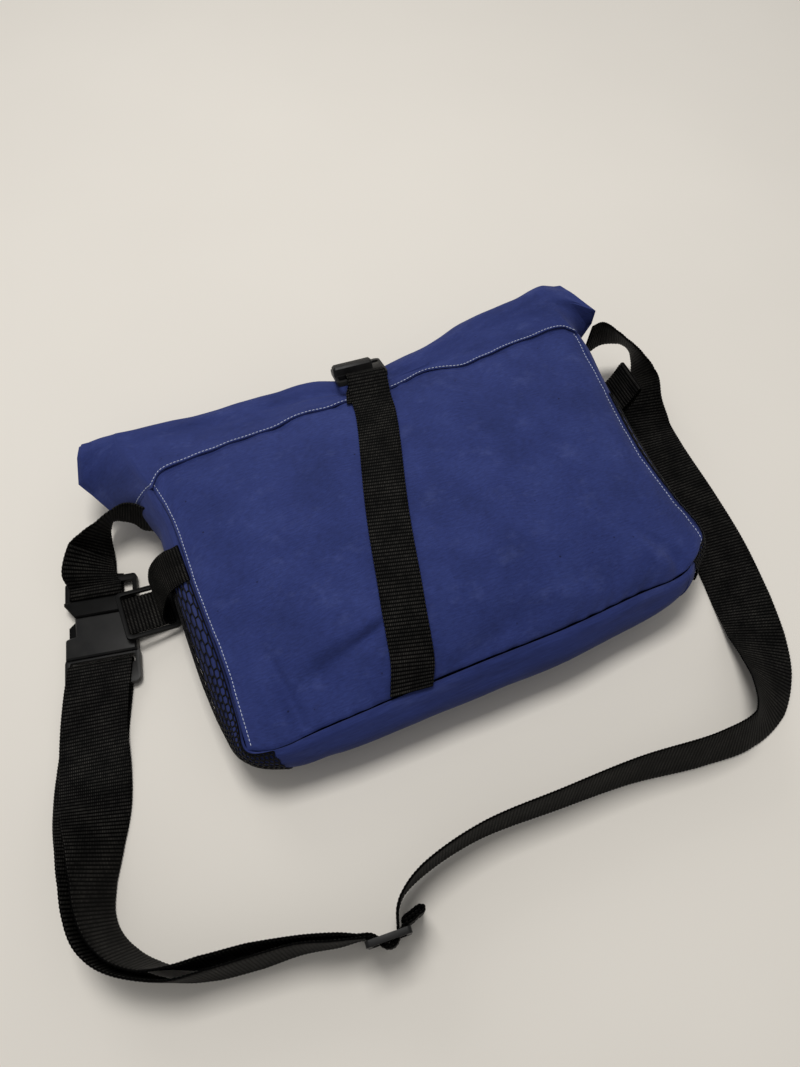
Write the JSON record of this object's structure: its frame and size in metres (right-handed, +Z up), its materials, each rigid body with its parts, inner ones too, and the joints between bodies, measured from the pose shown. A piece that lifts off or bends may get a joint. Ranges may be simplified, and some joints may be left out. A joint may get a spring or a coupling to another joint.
{
  "type": "roll-top messenger bag",
  "caption": "Soft cloth messenger bag lying on its back, with a rolled and strapped top, net side pockets and a webbing shoulder strap with a side-release buckle and slider.",
  "frame": {"origin": "on the underside of the back panel, on the surface that the bag lies on", "axes": "+X across the bag towards the end of the strap with no buckle, +Y from the bag's bottom to its rolled top, +Z up out of the front panel"},
  "size_m": [0.4708, 0.3563, 0.0905],
  "materials": {
    "cloth": "coated canvas, matt",
    "net": "knitted net",
    "webbing": "ribbed webbing",
    "plastic": "fine matt"
  },
  "bodies": {
    "root": {"front_panel": "cloth", "gusset_left": "cloth", "bottom_panel": "cloth", "gusset_right": "cloth", "back_panel": "cloth", "rolled_collar": "cloth", "net_pocket_left": "net", "net_pocket_right": "net", "shoulder_strap": "webbing", "strap_slider": "plastic", "buckle_female": "plastic", "buckle_male": "plastic", "anchor_strap_left": "webbing", "side_tab_left": "webbing", "side_tab_right": "webbing", "ring_strap_left": "webbing", "side_ring_left": "plastic", "closure_strap": "webbing", "closure_buckle": "plastic", "closure_strap_back": "webbing"}
  },
  "joints": []
}
